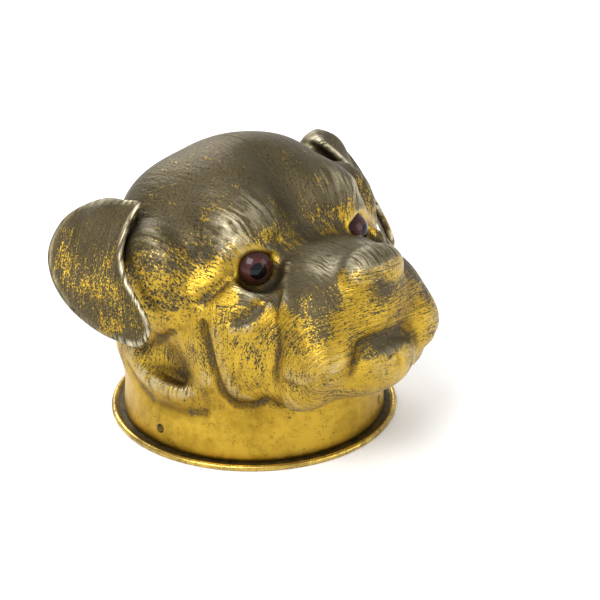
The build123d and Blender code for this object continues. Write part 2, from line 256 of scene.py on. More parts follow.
def hair_group():
    group, given, made = new_group(
        "hair",
        {"Flow": ("NodeSocketVector", None), "Length": ("NodeSocketFloat", 0.12),
         "Width": ("NodeSocketFloat", 1.4)},
        {"Stroke": "NodeSocketFloat"})
    parts = put(group, "ShaderNodeSeparateXYZ", {0: given["Flow"]}).outputs
    along = calc(group, "MULTIPLY", parts[0], given["Length"])
    across = calc(group, "MULTIPLY", parts[1], given["Width"])
    lane = put(group, "ShaderNodeCombineXYZ", {0: along, 1: across, 2: parts[2]}).outputs[0]
    coarse = noise(group, lane, 1.0, 2.0, 0.5)
    thin = noise(group, lane, 2.6, 1.0, 0.5)
    stroke = blend_values(group, coarse, thin, 0.38)
    group.links.new(fade(group, stroke, 0.36, 0.64), made["Stroke"])
    return group


PITTING = pitting_group()
TARNISH = tarnish_group()
HAIR = hair_group()
print("groups:", PITTING.name, TARNISH.name, HAIR.name)

# %% [markdown]
# ## The gilt fur
# The head's brass is gold low down and on the cheeks, grey-brown over the crown, and a deep brown gold in
# the folds. The grey-brown is patina together with painted dark reflection on faces that look up, and
# painted shade under the lip and beside the eyes; the folds' deep brown is partly dirt and partly painted
# shade. The head and ears carry that as attributes painted on their points: `patina_shade_reflection` (0
# gold to 1 dark), `hollow` (deep places) and `wear_and_highlight` (worn ridges and painted highlights).
# The chased hair both bumps the surface and holds dirt between its strokes.

# %% Gold, patina with painted shade and reflection, and fur
GOLD = (0.53, 0.345, 0.040, 1)
DEEP_GOLD = (0.32, 0.195, 0.018, 1)
# Deep brown for the folds: dirt, and painted shade.
FOLD_GOLD = (0.15, 0.085, 0.009, 1)
# Pale gold for worn ridges and for painted highlights.
WORN_GOLD_AND_HIGHLIGHT = (0.58, 0.52, 0.35, 1)
# Dark colour for patina, and for painted dark reflection and painted shade.
DARK_PATINA_AND_REFLECTION = (0.058, 0.049, 0.030, 1)
NEAR_BLACK = (0.012, 0.011, 0.007, 1)
FUR_REGIONS = ("skull", "cheek", "flew", "bridge")
HAIR_LENGTH, HAIR_WIDTH = 0.14, 1.25          # chased strokes, as noise per millimetre
GRAIN_LENGTH, GRAIN_WIDTH = 1.6, 4.2          # grains of worn gilding along them
STIPPLE_SCALE, BLOTCH_SCALE = 2000.0, 150.0   # noise per metre
DARK_FROM, DARK_TO = 0.38, 0.58               # where gold turns to the dark of patina, painted reflection and painted shade


def fur_stroke(tree, regions, length, width):
    """One stroke value from the regions' flows, each weighted by its own mask."""
    total = None
    for region in regions:
        flow = attribute(tree, "flow_" + region, "Vector")
        stroke = use_group(tree, HAIR, {"Flow": flow, "Length": length, "Width": width})[0]
        share = calc(tree, "MULTIPLY", stroke, attribute(tree, "fur_" + region))
        total = share if total is None else calc(tree, "ADD", total, share)
    return total


def times(tree, value, amount):
    return calc(tree, "MULTIPLY", value, amount)


def how_dark(tree, spot, stroke, grains):
    """Patina with painted dark reflection and painted shade, blotches, grains, stipple, dirt between the
    hairs and the hollows, added up.
    """
    cover = attribute(tree, "fur_cover")
    blotch = calc(tree, "SUBTRACT", noise(tree, spot, BLOTCH_SCALE, 4.0), 0.5)
    stipple = calc(tree, "SUBTRACT", 0.5, noise(tree, spot, STIPPLE_SCALE, 3.0))
    gap = times(tree, calc(tree, "SUBTRACT", 0.5, stroke), cover)
    parts = [
        times(tree, blotch, 1.5),
        times(tree, calc(tree, "SUBTRACT", 0.5, grains), fade(tree, cover, 0.0, 1.0, 0.1, 0.6)),
        times(tree, stipple, fade(tree, cover, 0.0, 1.0, 0.3, 1.5)),
        times(tree, gap, 0.4),
        times(tree, attribute(tree, "hollow"), 0.15),
    ]
    darkness = attribute(tree, "patina_shade_reflection")
    for part in parts:
        darkness = calc(tree, "ADD", darkness, part)
    return darkness


def gilt_fur(name, regions, pits=0.8):
    material, tree, shader = new_material(name)
    spot = place(tree)
    stroke = fur_stroke(tree, regions, HAIR_LENGTH, HAIR_WIDTH)
    grains = fur_stroke(tree, regions, GRAIN_LENGTH, GRAIN_WIDTH)
    cover, hollow, wear_and_highlight = (attribute(tree, n) for n in ("fur_cover", "hollow", "wear_and_highlight"))
    clouds = use_group(tree, TARNISH, {"Vector": spot, "Amount": 0.5})
    specks = use_group(tree, PITTING, {"Vector": spot, "Scale": 1150.0, "Size": 0.34})[0]
    gold = blend_colour(tree, clouds["Mask"], GOLD, DEEP_GOLD)
    # The hollows get a deep brown: partly dirt, partly painted shade in the folds.
    gold = blend_colour(tree, times(tree, hollow, 0.85), gold, FOLD_GOLD)
    darkness = how_dark(tree, spot, stroke, grains)
    darkened = fade(tree, darkness, DARK_FROM, DARK_TO)
    # Darker parts turn to the dark colour: patina, painted dark reflection on upward faces, and painted
    # shade.
    colour = blend_colour(tree, times(tree, darkened, 0.93), gold, DARK_PATINA_AND_REFLECTION)
    pinholes = times(tree, fade(tree, grains, 0.34, 0.12), fade(tree, darkness, 0.1, 0.6))
    colour = blend_colour(tree, times(tree, pinholes, 0.75), colour, NEAR_BLACK)
    # Pale gold on worn ridges and on painted highlight spots.
    high_spots = fade(tree, calc(tree, "ADD", stroke, clouds["Fine"]), 0.7, 1.25)
    rub_and_highlight = calc(tree, "MULTIPLY", wear_and_highlight, high_spots, clamp=True)
    colour = blend_colour(tree, rub_and_highlight, colour, WORN_GOLD_AND_HIGHLIGHT)
    colour = blend_colour(tree, times(tree, specks, pits), colour, NEAR_BLACK)
    height = times(tree, calc(tree, "ADD", stroke, times(tree, grains, 0.35)), cover)
    height = calc(tree, "SUBTRACT", height, times(tree, specks, 0.35))
    normal = bump(tree, height, 0.00015)
    normal = bump(tree, clouds["Fine"], 0.00008, under=normal)
    rough = calc(tree, "SUBTRACT", fade(tree, darkened, 0.0, 1.0, 0.38, 0.5), times(tree, rub_and_highlight, 0.1))
    metal = fade(tree, darkened, 0.0, 1.0, 1.0, 0.8)
    set_shader(tree, shader, {
        "Base Color": colour, "Roughness": rough, "Metallic": metal, "Normal": normal})
    return material


GILT_HEAD = gilt_fur("gilt_fur_head", FUR_REGIONS)
GILT_EAR = gilt_fur("gilt_fur_ear", ("ear",), 0.5)
print("fur finishes:", GILT_HEAD.name, GILT_EAR.name)


# %% [markdown]
# ## Plainer metals
# The base, the hinge and the parts inside are the same brass with no fur. One function
# makes them all: how tarnished, how rough, and how strongly the lathe or the rolls have
# left their rings or streaks.

# %% Sheet, spun and drawn brass
def plain_metal(name, colour, dull, amount, rough, streaks=(1.0, 1.0, 1.0), pits=0.3):
    material, tree, shader = new_material(name)
    spot = place(tree)
    clouds = use_group(tree, TARNISH, {"Vector": spot, "Amount": amount})
    specks = use_group(tree, PITTING, {"Vector": spot, "Scale": 800.0, "Size": 0.3})[0]
    lines = put(tree, "ShaderNodeMapping", {"Vector": spot, "Scale": streaks}).outputs[0]
    grain = noise(tree, lines, 900.0, 2.0)
    tint = blend_colour(tree, clouds["Mask"], colour, dull)
    tint = blend_colour(tree, fade(tree, grain, 0.5, 0.8, 0.0, 0.35), tint, dull)
    tint = blend_colour(tree, calc(tree, "MULTIPLY", specks, pits), tint, NEAR_BLACK)
    texture = calc(tree, "SUBTRACT", grain, calc(tree, "MULTIPLY", specks, 0.6))
    normal = bump(tree, texture, 0.00006)
    shine = fade(tree, calc(tree, "ADD", clouds["Mask"], clouds["Fine"]), 0.3, 1.5, rough, rough + 0.22)
    set_shader(tree, shader, {
        "Base Color": tint, "Roughness": shine, "Metallic": 1.0, "Normal": normal})
    return material


INSIDE_BRASS = plain_metal(
    "inside_brass", (0.52, 0.36, 0.12, 1), (0.20, 0.13, 0.05, 1), 0.5, 0.34, (1, 1, 6))
HINGE_BRASS = plain_metal(
    "hinge_brass", (0.50, 0.34, 0.10, 1), (0.10, 0.075, 0.035, 1), 0.62, 0.36, (0.2, 1, 1))
PIN_STEEL = plain_metal(
    "pin_steel", (0.30, 0.28, 0.25, 1), (0.12, 0.07, 0.04, 1), 0.5, 0.38, (0.15, 1, 1))


def flange_brass():
    """Bright rolled bead, and a flat flange painted near black as painted dark reflection and painted shade.
    """
    material, tree, shader = new_material("flange_brass")
    spot = place(tree)
    clouds = use_group(tree, TARNISH, {"Vector": spot, "Amount": 0.55})
    specks = use_group(tree, PITTING, {"Vector": spot, "Scale": 900.0, "Size": 0.35})[0]
    polish = attribute(tree, "bead")
    # The flange's near black is painted reflection and painted shade, mottled by noise.
    dark_mottle = fade(tree, clouds["Fine"], 0.35, 0.7)
    painted_reflection_and_shade = blend_colour(tree, dark_mottle, (0.022, 0.019, 0.010, 1), (0.10, 0.075, 0.026, 1))
    bright = blend_colour(tree, clouds["Mask"], (0.66, 0.46, 0.10, 1), (0.26, 0.17, 0.04, 1))
    polish = calc(tree, "MULTIPLY", polish, fade(tree, clouds["Fine"], 0.36, 0.52, 0.45, 1.0))
    tint = blend_colour(tree, polish, painted_reflection_and_shade, bright)
    tint = blend_colour(tree, calc(tree, "MULTIPLY", specks, 0.6), tint, NEAR_BLACK)
    normal = bump(tree, calc(tree, "SUBTRACT", clouds["Fine"], specks), 0.00010)
    shine = fade(tree, polish, 0.0, 1.0, 0.55, 0.26)
    set_shader(tree, shader, {
        "Base Color": tint, "Roughness": shine, "Metallic": 0.9, "Normal": normal})
    return material


FLANGE_BRASS = flange_brass()
print("metals:", [m.name for m in (INSIDE_BRASS, HINGE_BRASS, PIN_STEEL, FLANGE_BRASS)])


# %% [markdown]
# ## Glass and porcelain
# The eyes are balls of dark red-brown glass with a black pupil fused in. The pot is white
# glazed porcelain, crazed a little and stained by ink round its mouth.

# %% Glass eyes, pupils and glaze
def eye_glass():
    """The `iris` attribute is the distance from the eye's axis, in millimetres."""
    material, tree, shader = new_material("wine_glass")
    spot = place(tree)
    swirl = noise(tree, spot, 600.0, 4.0)
    waver = times(tree, calc(tree, "SUBTRACT", swirl, 0.5), 0.35)
    out = calc(tree, "ADD", attribute(tree, "iris"), waver)
    ring = blend_colour(
        tree, fade(tree, out, 2.2, 4.4), (0.075, 0.020, 0.017, 1), (0.020, 0.005, 0.005, 1))
    tint = blend_colour(tree, fade(tree, out, 2.05, 2.3), (0.003, 0.003, 0.004, 1), ring)
    scratches = noise(tree, spot, 2600.0, 2.0)
    normal = bump(tree, scratches, 0.000004)
    set_shader(tree, shader, {
        "Base Color": tint, "Roughness": fade(tree, scratches, 0.3, 0.8, 0.10, 0.2),
        "Transmission Weight": 0.15, "IOR": 1.5, "Specular IOR Level": 0.22, "Normal": normal})
    return material


def pupil_glass():
    material, tree, shader = new_material("pupil_glass")
    spot = place(tree)
    cloud = noise(tree, spot, 700.0, 3.0)
    tint = blend_colour(tree, cloud, (0.004, 0.003, 0.003, 1), (0.020, 0.008, 0.005, 1))
    normal = bump(tree, cloud, 0.00001)
    set_shader(tree, shader, {
        "Base Color": tint, "Roughness": fade(tree, cloud, 0.3, 0.7, 0.05, 0.14), "Normal": normal})
    return material


def white_glaze(mouth_z):
    material, tree, shader = new_material("white_glaze")
    spot = place(tree)
    cloud = noise(tree, spot, 120.0, 4.0)
    tint = blend_colour(tree, cloud, (0.80, 0.77, 0.69, 1), (0.62, 0.58, 0.48, 1))
    height = put(tree, "ShaderNodeSeparateXYZ", {0: spot}).outputs[2]
    near_mouth = fade(tree, height, mouth_z - 3.4 * MM, mouth_z)
    stain = calc(tree, "MULTIPLY", near_mouth, fade(tree, noise(tree, spot, 300.0, 5.0), 0.45, 0.62))
    tint = blend_colour(tree, calc(tree, "MULTIPLY", stain, 0.8), tint, (0.012, 0.016, 0.05, 1))
    crackle = put(
        tree, "ShaderNodeTexVoronoi", {"Vector": spot, "Scale": 260.0}, feature="DISTANCE_TO_EDGE")
    line = fade(tree, crackle.outputs["Distance"], 0.0, 0.03, 1.0, 0.0)
    tint = blend_colour(tree, calc(tree, "MULTIPLY", line, 0.35), tint, (0.28, 0.22, 0.13, 1))
    normal = bump(tree, calc(tree, "SUBTRACT", cloud, calc(tree, "MULTIPLY", line, 0.15)), 0.00012)
    set_shader(tree, shader, {
        "Base Color": tint, "Roughness": fade(tree, cloud, 0.3, 0.8, 0.10, 0.22),
        "Coat Weight": 0.4, "Coat Roughness": 0.06, "Normal": normal})
    return material


EYE_GLASS = eye_glass()
PUPIL_GLASS = pupil_glass()
WHITE_GLAZE = white_glaze(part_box("ink_pot")[1].z)
print("glass and glaze ready")


# %% [markdown]
# ## Turned pieces
# The base, its collar, the gallery, the liner and the pot are all round, so each is one
# outline swept round the upright axis. A circle is added at the outline's first point,
# then its edge is extruded, resized and lifted to every next point in turn.

# %% Sweep an outline round the Z axis
def turned_piece(name, outline, sides, closed=True, edge_angle=35):
    """outline is (radius, height) points in metres; closed joins the last to the first."""
    first_r, first_z = outline[0]
    piece = new_piece(name, bpy.ops.mesh.primitive_circle_add, vertices=sides, radius=first_r,
                      location=(0, 0, first_z))
    select_only(piece)
    bpy.ops.object.mode_set(mode="EDIT")
    bpy.ops.mesh.select_all(action="SELECT")
    stops = outline[1:] + ([outline[0]] if closed else [])
    r, z = first_r, first_z
    for next_r, next_z in stops:
        bpy.ops.mesh.extrude_edges_move()
        grow = next_r / r
        bpy.ops.transform.resize(value=(grow, grow, 1), center_override=(0, 0, z))
        bpy.ops.transform.translate(value=(0, 0, next_z - z))
        r, z = next_r, next_z
    bpy.ops.object.mode_set(mode="OBJECT")
    tidy_normals(piece)
    smooth_by_angle(piece, edge_angle)
    return piece


def arc(middle_r, middle_z, radius, start, stop, steps):
    """Points of a rounded edge, by angle in degrees from outward, turning upward."""
    turns = [math.radians(start + (stop - start) * k / steps) for k in range(steps + 1)]
    return [(middle_r + radius * math.cos(t), middle_z + radius * math.sin(t)) for t in turns]


# %% [markdown]
# ## The base plate
# A thin spun disc whose rim is rolled into a bead. The bead is polished by handling, while the flat flange
# inside it is painted near black as painted dark reflection and painted shade, so the points carry a `bead`
# value.

# %% Base plate with its rolled bead
PLATE_LOW, PLATE_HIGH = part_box("base_plate")
PLATE_R = PLATE_HIGH.x
BEAD_R = 0.75 * MM
PLATE_T = 1.0 * MM
CENTRE_R = 0.05 * MM

plate = turned_piece(
    "base_plate_spun",
    [(CENTRE_R, 0.0), (PLATE_R - 3.4 * MM, 0.0), (PLATE_R - 2.2 * MM, 0.05 * MM)]
    + arc(PLATE_R - BEAD_R, BEAD_R, BEAD_R, -110, 150, 16)
    + [(PLATE_R - 1.75 * MM, PLATE_T), (PLATE_R - 2.6 * MM, PLATE_T * 0.97), (CENTRE_R, PLATE_T)],
    192)
radii = np.array([v.co.xy.length for v in plate.data.vertices])
polish = plate.data.attributes.new("bead", "FLOAT", "POINT")
on_bead = np.clip((radii - (PLATE_R - 1.7 * MM)) / (0.4 * MM), 0, 1)
polish.data.foreach_set("value", on_bead.astype(np.float32))
hand_in(plate, FLANGE_BRASS, "base", "base_brass", "base_plate")

# %% [markdown]
# ## The collar, the gallery and the liner
# Three rings of thin sheet. The collar stands on the plate and centres the closed head,
# the gallery is the cup that holds the pot, and the liner stiffens the neck from inside.
# Their sizes are the CAD nodes' own, with edges rounded as a file would leave them.

# %% Rings of thin sheet
SHEET_EDGE = 0.18 * MM


def rounded(piece, width, segments=2):
    apply_modifier(piece, "BEVEL", width=width, segments=segments, limit_method="ANGLE",
                   angle_limit=math.radians(40))
    smooth_by_angle(piece, 35)


COLLAR_LOW, COLLAR_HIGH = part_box("locating_collar")
COLLAR_R, COLLAR_T, COLLAR_FOOT = COLLAR_HIGH.x, 0.9 * MM, 3.0 * MM
foot_top = COLLAR_LOW.z + 0.6 * MM
collar = turned_piece("locating_collar_ring", [
    (COLLAR_R, COLLAR_LOW.z), (COLLAR_R, COLLAR_HIGH.z), (COLLAR_R - COLLAR_T, COLLAR_HIGH.z),
    (COLLAR_R - COLLAR_T, foot_top), (COLLAR_R - COLLAR_FOOT, foot_top),
    (COLLAR_R - COLLAR_FOOT, COLLAR_LOW.z)], 144)
rounded(collar, SHEET_EDGE)
hand_in(collar, INSIDE_BRASS, "base", "base_brass", "locating_collar")

GALLERY_LOW, GALLERY_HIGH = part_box("pot_gallery")
LIP_R, GALLERY_T = GALLERY_HIGH.x, 0.8 * MM
CUP_R = LIP_R - GALLERY_T
lip_low = GALLERY_HIGH.z - 1.0 * MM
gallery = turned_piece("pot_gallery_cup", [
    (CENTRE_R, GALLERY_LOW.z), (CUP_R, GALLERY_LOW.z), (CUP_R, lip_low),
    (LIP_R, lip_low), (LIP_R, GALLERY_HIGH.z), (CUP_R - GALLERY_T, GALLERY_HIGH.z),
    (CUP_R - GALLERY_T, GALLERY_LOW.z + GALLERY_T), (CENTRE_R, GALLERY_LOW.z + GALLERY_T)], 120)
rounded(gallery, SHEET_EDGE)
hand_in(gallery, INSIDE_BRASS, "base", "plain_brass", "pot_gallery")

LINER_LOW, LINER_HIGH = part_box("neck_liner")
NECK = (34.7, 33.4, 18.0)        # outer radius at the plate, radius at the fur, its height
NECK_LEAN = (NECK[0] - NECK[1]) / NECK[2]
LINER_R, LINER_T = LINER_HIGH.x, 0.8 * MM
LINER_TOP_R = LINER_R - NECK_LEAN * (LINER_HIGH.z - LINER_LOW.z)
liner = turned_piece("neck_liner_ring", [
    (LINER_R, LINER_LOW.z), (LINER_TOP_R, LINER_HIGH.z), (LINER_TOP_R - LINER_T, LINER_HIGH.z),
    (LINER_R - LINER_T, LINER_LOW.z)], 144)
rounded(liner, SHEET_EDGE)
hand_in(liner, INSIDE_BRASS, "head", "plain_brass", "neck_liner")

# %% [markdown]
# ## The porcelain pot
# A round jar with a soft shoulder, a necked lip and a well for the ink. The outline has
# only its corners; a bevel rounds them the way thick glaze does.

# %% Ink pot
POT_LOW, POT_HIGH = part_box("ink_pot")
POT_R, POT_FOOT = POT_HIGH.x, POT_LOW.z
FOOT_RECESS = 1.4 * MM
outside = [(14.6, 24.6), (11.2, 25.6), (10.2, 26.6), (10.6, 28.4)]
well = [(7.5, 24.0), (12.0, 21.0), (12.0, 10.5), (8.5, 7.0), (CENTRE_R / MM, 7.0)]
pot = turned_piece(
    "ink_pot_glazed",
    [(11.5 * MM, POT_FOOT), (14.5 * MM, POT_FOOT), (POT_R, POT_FOOT + 1.5 * MM), (POT_R, 22.5 * MM)]
    + [(r * MM, z * MM) for r, z in outside]
    + [(10.0 * MM, POT_HIGH.z), (7.5 * MM, POT_HIGH.z)]
    + [(r * MM, z * MM) for r, z in well]
    + [(CENTRE_R, POT_FOOT + FOOT_RECESS), (11.0 * MM, POT_FOOT + FOOT_RECESS)],
    120, edge_angle=60)
apply_modifier(pot, "BEVEL", width=0.55 * MM, segments=4, limit_method="ANGLE",
               angle_limit=math.radians(12))
smooth_by_angle(pot, 60)
hand_in(pot, WHITE_GLAZE, "pot", "porcelain", "ink_pot")

# %% [markdown]
# ## The head, blocked out in lumps
# A modeller in clay builds a dog's head from eggs of clay: skull, brows, cheeks, muzzle,
# lips, chin. The same eggs are added here as spheres, one for each lump and side, with a
# tapered tube for the neck. A voxel remesh then fuses them into one even skin, coarse
# while it is blocked out and fine once the form is near.

# %% Lumps of the head, in millimetres
LUMPS = {                        # middle, radii, blend
    "skull": ((0, 4.5, 44), (31.7, 30, 28), 4),
    "crown": ((0, 4, 54.8), (25, 18.5, 17), 6),
    "brow": ((14.3, -9, 56), (11.2, 12.3, 10.8), 4),
    "temple": ((14.5, 12, 52), (14.5, 14.5, 14.5), 6),
    "ear_base": ((33, 0, 46), (6.5, 10, 13), 8),
    "cheek": ((19, -10, 36), (14, 17, 16), 7),
    "nape": ((0, 10, 22), (32.5, 25, 16), 6),
    "jowl": ((20, -17, 26), (11, 12, 10), 6),
    "cheek_front": ((19.5, -21.5, 35), (9.5, 10.5, 15), 5),
    "core": ((0, -24, 35), (15.5, 22, 16.5), 3),
    "throat": ((0, -3, 24), (29, 29.5, 14), 3),
    "muzzle": ((0, -32, 45.2), (17.2, 16.4, 10.4), 5),
    "nose": ((0, -43.4, 53), (9, 6, 6), 4),
    "lips": ((0, -41, 42), (13, 8, 8), 3),
    "flew": ((12.6, -35.2, 37.5), (9.6, 12.3, 12.5), 4),
    "flew_front": ((15.5, -40.5, 34), (7.5, 8.7, 8.2), 3),
    "flew_low": ((17.3, -38.5, 30.5), (6.4, 7.5, 5.6), 2.5),
    "jaw": ((0, -33, 27), (20, 17.5, 9.3), 3.5),
    "jaw_corner": ((15.5, -35, 24.5), (8.3, 8.5, 7), 3),
    "chin": ((0, -44.6, 29.8), (10.5, 8.9, 7.8), 2.5),
}
BLOCK_VOXEL, SKIN_VOXEL = 0.8, 0.76


def remesh(piece, voxel):
    piece.data.remesh_voxel_size = voxel * MM
    select_only(piece)
    bpy.ops.object.voxel_remesh()


def lump_spheres():
    """A sphere for each lump, and its twin where the lump is off the middle."""
    spheres = []
    for name, (middle, radii, _) in LUMPS.items():
        for side in ((1, -1) if middle[0] else (1,)):
            spheres.append(new_piece(
                name, bpy.ops.mesh.primitive_uv_sphere_add, segments=48, ring_count=24, radius=1.0,
                location=[side * middle[0] * MM, middle[1] * MM, middle[2] * MM],
                scale=[r * MM for r in radii]))
    return spheres


low_r, high_r, neck_top = NECK
NECK_SPARE = 3.0                 # the tube starts this far under the plate, and is cut later
neck = new_piece(
    "neck", bpy.ops.mesh.primitive_cone_add, vertices=96, radius1=low_r * MM, radius2=high_r * MM,
    depth=(neck_top + NECK_SPARE) * MM, location=(0, 0, (neck_top - NECK_SPARE) / 2 * MM))
head = joined("head_pressing", [neck] + lump_spheres())
remesh(head, BLOCK_VOXEL)
print("blocked-out head:", len(head.data.vertices), "points")

# %% [markdown]
# ## Working the clay
# Sculpting moves points, so it is done on arrays of points in millimetres. `clay` says how
# far a point is outside the finished form: lumps melted together, folds pressed in with a
# round tool, finer strokes pressed or raised, and a hollow with a lid for each eye. Every
# point then slides along the slope of that field until it lies on the form. The coarse
# skin is pressed without the strokes and remeshed, and the fine skin is pressed with them.

# %% Clay tools
EYE_TURN, EYE_RISE = 26.0, 0.08
EYE_BACK, EYE_BALL_R = 2.0, 4.8
outward = math.radians(EYE_TURN)
EYE_LOOK = np.array([math.sin(outward), -math.cos(outward), EYE_RISE])
EYE_LOOK = EYE_LOOK / np.linalg.norm(EYE_LOOK)
EYE_MIDDLE = np.array([17.3, -20.6, 50.9]) - EYE_BACK * EYE_LOOK


def melt(a, b, width):
    """The union of two distances with a rounded join."""
    h = np.maximum(width - np.abs(a - b), 0) / width
    return np.minimum(a, b) - h * h * width / 4


def carve(a, tool, width):
    return -melt(-a, tool, width)


def egg(points, middle, radii):
    local = points - np.array(middle, float)
    radii = np.array(radii, float)
    near = np.linalg.norm(local / radii, axis=-1)
    return near * (near - 1) / np.maximum(np.linalg.norm(local / radii**2, axis=-1), 1e-9)


def to_line(points, line):
    """Distance to a line through several places."""
    best = np.full(len(points), 1e9)
    for a, b in zip(line[:-1], line[1:]):
        a, span = np.array(a, float), np.array(b, float) - np.array(a, float)
        along = np.clip(((points - a) @ span) / (span @ span), 0, 1)
        best = np.minimum(best, np.linalg.norm(points - a - along[:, None] * span, axis=-1))
    return best


def neck_skin(points):
    out = np.hypot(points[:, 0], points[:, 1])
    out = out - (low_r + (high_r - low_r) * np.clip(points[:, 2] / neck_top, 0, 1))
    above = np.maximum(points[:, 2] - neck_top, 0)
    return np.where(above > 0, np.hypot(np.maximum(out, 0), above), out)


# %% [markdown]
# The folds are the deep lines of the face: the furrow between the brows, the stop, the
# edge behind the flew, and the mouth. The strokes are shallower: depth above zero presses
# in, below zero raises a ridge. Both are given for the left side and doubled.

# %% Folds and strokes, left side
FOLDS = {                        # line, tool radius, softness
    "furrow": ([(0, -6, 75.5), (0, -12.5, 70), (0, -17, 64), (0, -21, 60)], 4.0, 6),
    "stop": ([(0, -21.5, 58.5), (8, -23, 58)], 1.0, 5),
    "behind_flew": ([(15, -28, 53), (20, -31.5, 47), (23.8, -34, 38), (25, -35, 29), (24.5, -35, 23),
                     (20, -33.5, 16)], 1.0, 2.5),
    "mouth": ([(0, -50.2, 37.6), (8.6, -49.6, 34.4), (14, -49.7, 32.3), (18.9, -48.8, 30.8),
               (21.8, -46, 29), (23.2, -42, 27.4), (24.2, -37, 28.5)], 0.9, 1.0),
}
STROKES = {                      # line, width, depth
    "brow_edge": ([(26.5, -11, 54), (24.5, -14, 58), (20.5, -18.5, 60), (15.5, -21, 58.5),
                   (11, -22.5, 56)], 2.0, 0.6),
    "outer_eye": ([(21, -19, 53), (24.5, -19, 50), (28, -17.5, 47), (30.5, -15.5, 44.5)], 1.4, 0.9),
    "lid_fold": ([(21.5, -18, 55.5), (24.5, -16, 53), (28, -14.5, 48.5), (30.5, -13.5, 45)], 2.2, -0.4),
    "bag": ([(28, -25, 41.5), (26, -27, 42.5), (23.5, -28, 45)], 1.1, 0.9),
    "bag_roll": ([(29, -24.5, 39), (27, -27.5, 40), (23.5, -30, 42), (21.5, -30, 45.5)], 1.4, -0.6),
    "flew_ridge": ([(13, -26.5, 53), (20, -32.5, 47.5), (23.5, -32.5, 36.5), (23.5, -31, 27)], 1.8, -0.9),
    "cheek_fold": ([(31.5, -17, 39), (31.5, -19, 33), (31, -21, 25.5), (29, -21.5, 20), (26, -23, 17),
                    (23, -26, 17), (20.5, -28, 19)], 1.2, 1.5),
    "cheek_roll": ([(30.5, -21, 38.5), (30.5, -23, 32.5), (29.5, -24, 26), (27.5, -25, 21.5),
                    (24, -27.5, 20.5), (23, -30.5, 23)], 2.0, -0.7),
    "neck_fold": ([(33, 12, 17.5), (33.5, 8, 14.5), (34, 0.5, 12), (32.5, -8, 12), (30, -15, 13)], 1.8, 0.8),
    "neck_roll": ([(32.5, 9.5, 22), (33.5, 5, 18.5), (33.5, -2, 17), (32.5, -8.5, 17.5), (30, -12, 19.5),
                   (31.5, -18, 25)], 2.6, -0.8),
    "ear_fold": ([(32, 6.5, 24.5), (31.5, 2, 27.5), (33, -8, 35)], 1.5, 0.9),
    "temple_dip": ([(32, -6.5, 43.5), (33, -9, 40), (33, -10.5, 36.5)], 1.6, 0.5),
    "temple_dip_2": ([(31.5, -12, 44), (32.5, -12, 40), (33, -13, 36.5)], 1.6, 0.4),
    "philtrum": ([(0, -50.5, 49), (0, -50.5, 38)], 0.7, 0.45),
    "chin_slit": ([(0, -52.8, 35), (0.8, -54, 30)], 0.5, 0.8),
    "nose_wrinkle": ([(15, -38, 52.8), (14, -42, 51.5), (9.3, -47.3, 52.6)], 0.9, 0.6),
    "nose_wrinkle_2": ([(13, -35, 56), (11.5, -40, 55.5), (8.5, -45, 56.5)], 0.9, 0.4),
}
LIP_PIT, LIP_PIT_SOFT = ((0, -50.6, 41.2), (0.5, 1.6, 1.0)), 0.6
SOCKET_OUT, SOCKET_R, SOCKET_SOFT = 4.5, 5.7, 1.6
LID_R, LID_OUT, LID_ROLL, LID_SOFT = 4.9, 1.4, 1.0, 1.6
MIDLINE_SOFT = 0.2               # rounds what would be a crease down the middle
FLATTEST, LONGEST_MOVE = 0.15, 1.2            # limits that keep a point from leaping
LID_CALM_REACH, LID_CALM_ROUNDS = 9.5, 4      # where and how often the lids are evened out


def clay(points, fine=True):
    folded = points.copy()
    folded[:, 0] = np.sqrt(folded[:, 0] ** 2 + MIDLINE_SOFT)
    out = neck_skin(folded)
    for middle, radii, width in LUMPS.values():
        out = melt(out, egg(folded, middle, radii), width)
    for line, radius, soft in FOLDS.values():
        out = carve(out, to_line(folded, line) - radius, soft)
    if fine:
        for line, width, depth in STROKES.values():
            out = out + depth * np.exp(-((to_line(folded, line) / width) ** 2))
        out = carve(out, egg(folded, *LIP_PIT), LIP_PIT_SOFT)
    from_eye = folded - EYE_MIDDLE
    ahead = from_eye @ EYE_LOOK
    aside = np.sqrt(np.maximum((from_eye**2).sum(-1) - ahead**2, 0))
    out = carve(out, np.hypot(ahead - SOCKET_OUT, aside) - SOCKET_R, SOCKET_SOFT)
    return melt(out, np.hypot(aside - LID_R, ahead - LID_OUT) - LID_ROLL, LID_SOFT)


def slope(field, points, step=0.12):
    """Which way the field rises, found by small steps along each axis."""
    parts = []
    for axis in np.eye(3) * step:
        parts.append((field(points + axis) - field(points - axis)) / (2 * step))
    return np.stack(parts, axis=-1)


def press_onto(field, points, rounds):
    """Slides points along the slope until they lie on the form."""
    for _ in range(rounds):
        rise = slope(field, points)
        steep = np.maximum((rise**2).sum(-1), FLATTEST)
        move = rise * (field(points) / steep)[:, None]
        length = np.linalg.norm(move, axis=-1)[:, None]
        points = points - move * np.minimum(1.0, LONGEST_MOVE / np.maximum(length, 1e-9))
    return points


def folded_side(points):
    """Every point, with those on the right moved to the left side."""
    return np.column_stack([np.abs(points[:, 0]), points[:, 1], points[:, 2]])


def get_points(piece):
    flat = np.zeros(len(piece.data.vertices) * 3)
    piece.data.vertices.foreach_get("co", flat)
    return flat.reshape(-1, 3) / MM


def set_points(piece, points):
    piece.data.vertices.foreach_set("co", (points * MM).astype(np.float32).ravel())
    piece.data.update()


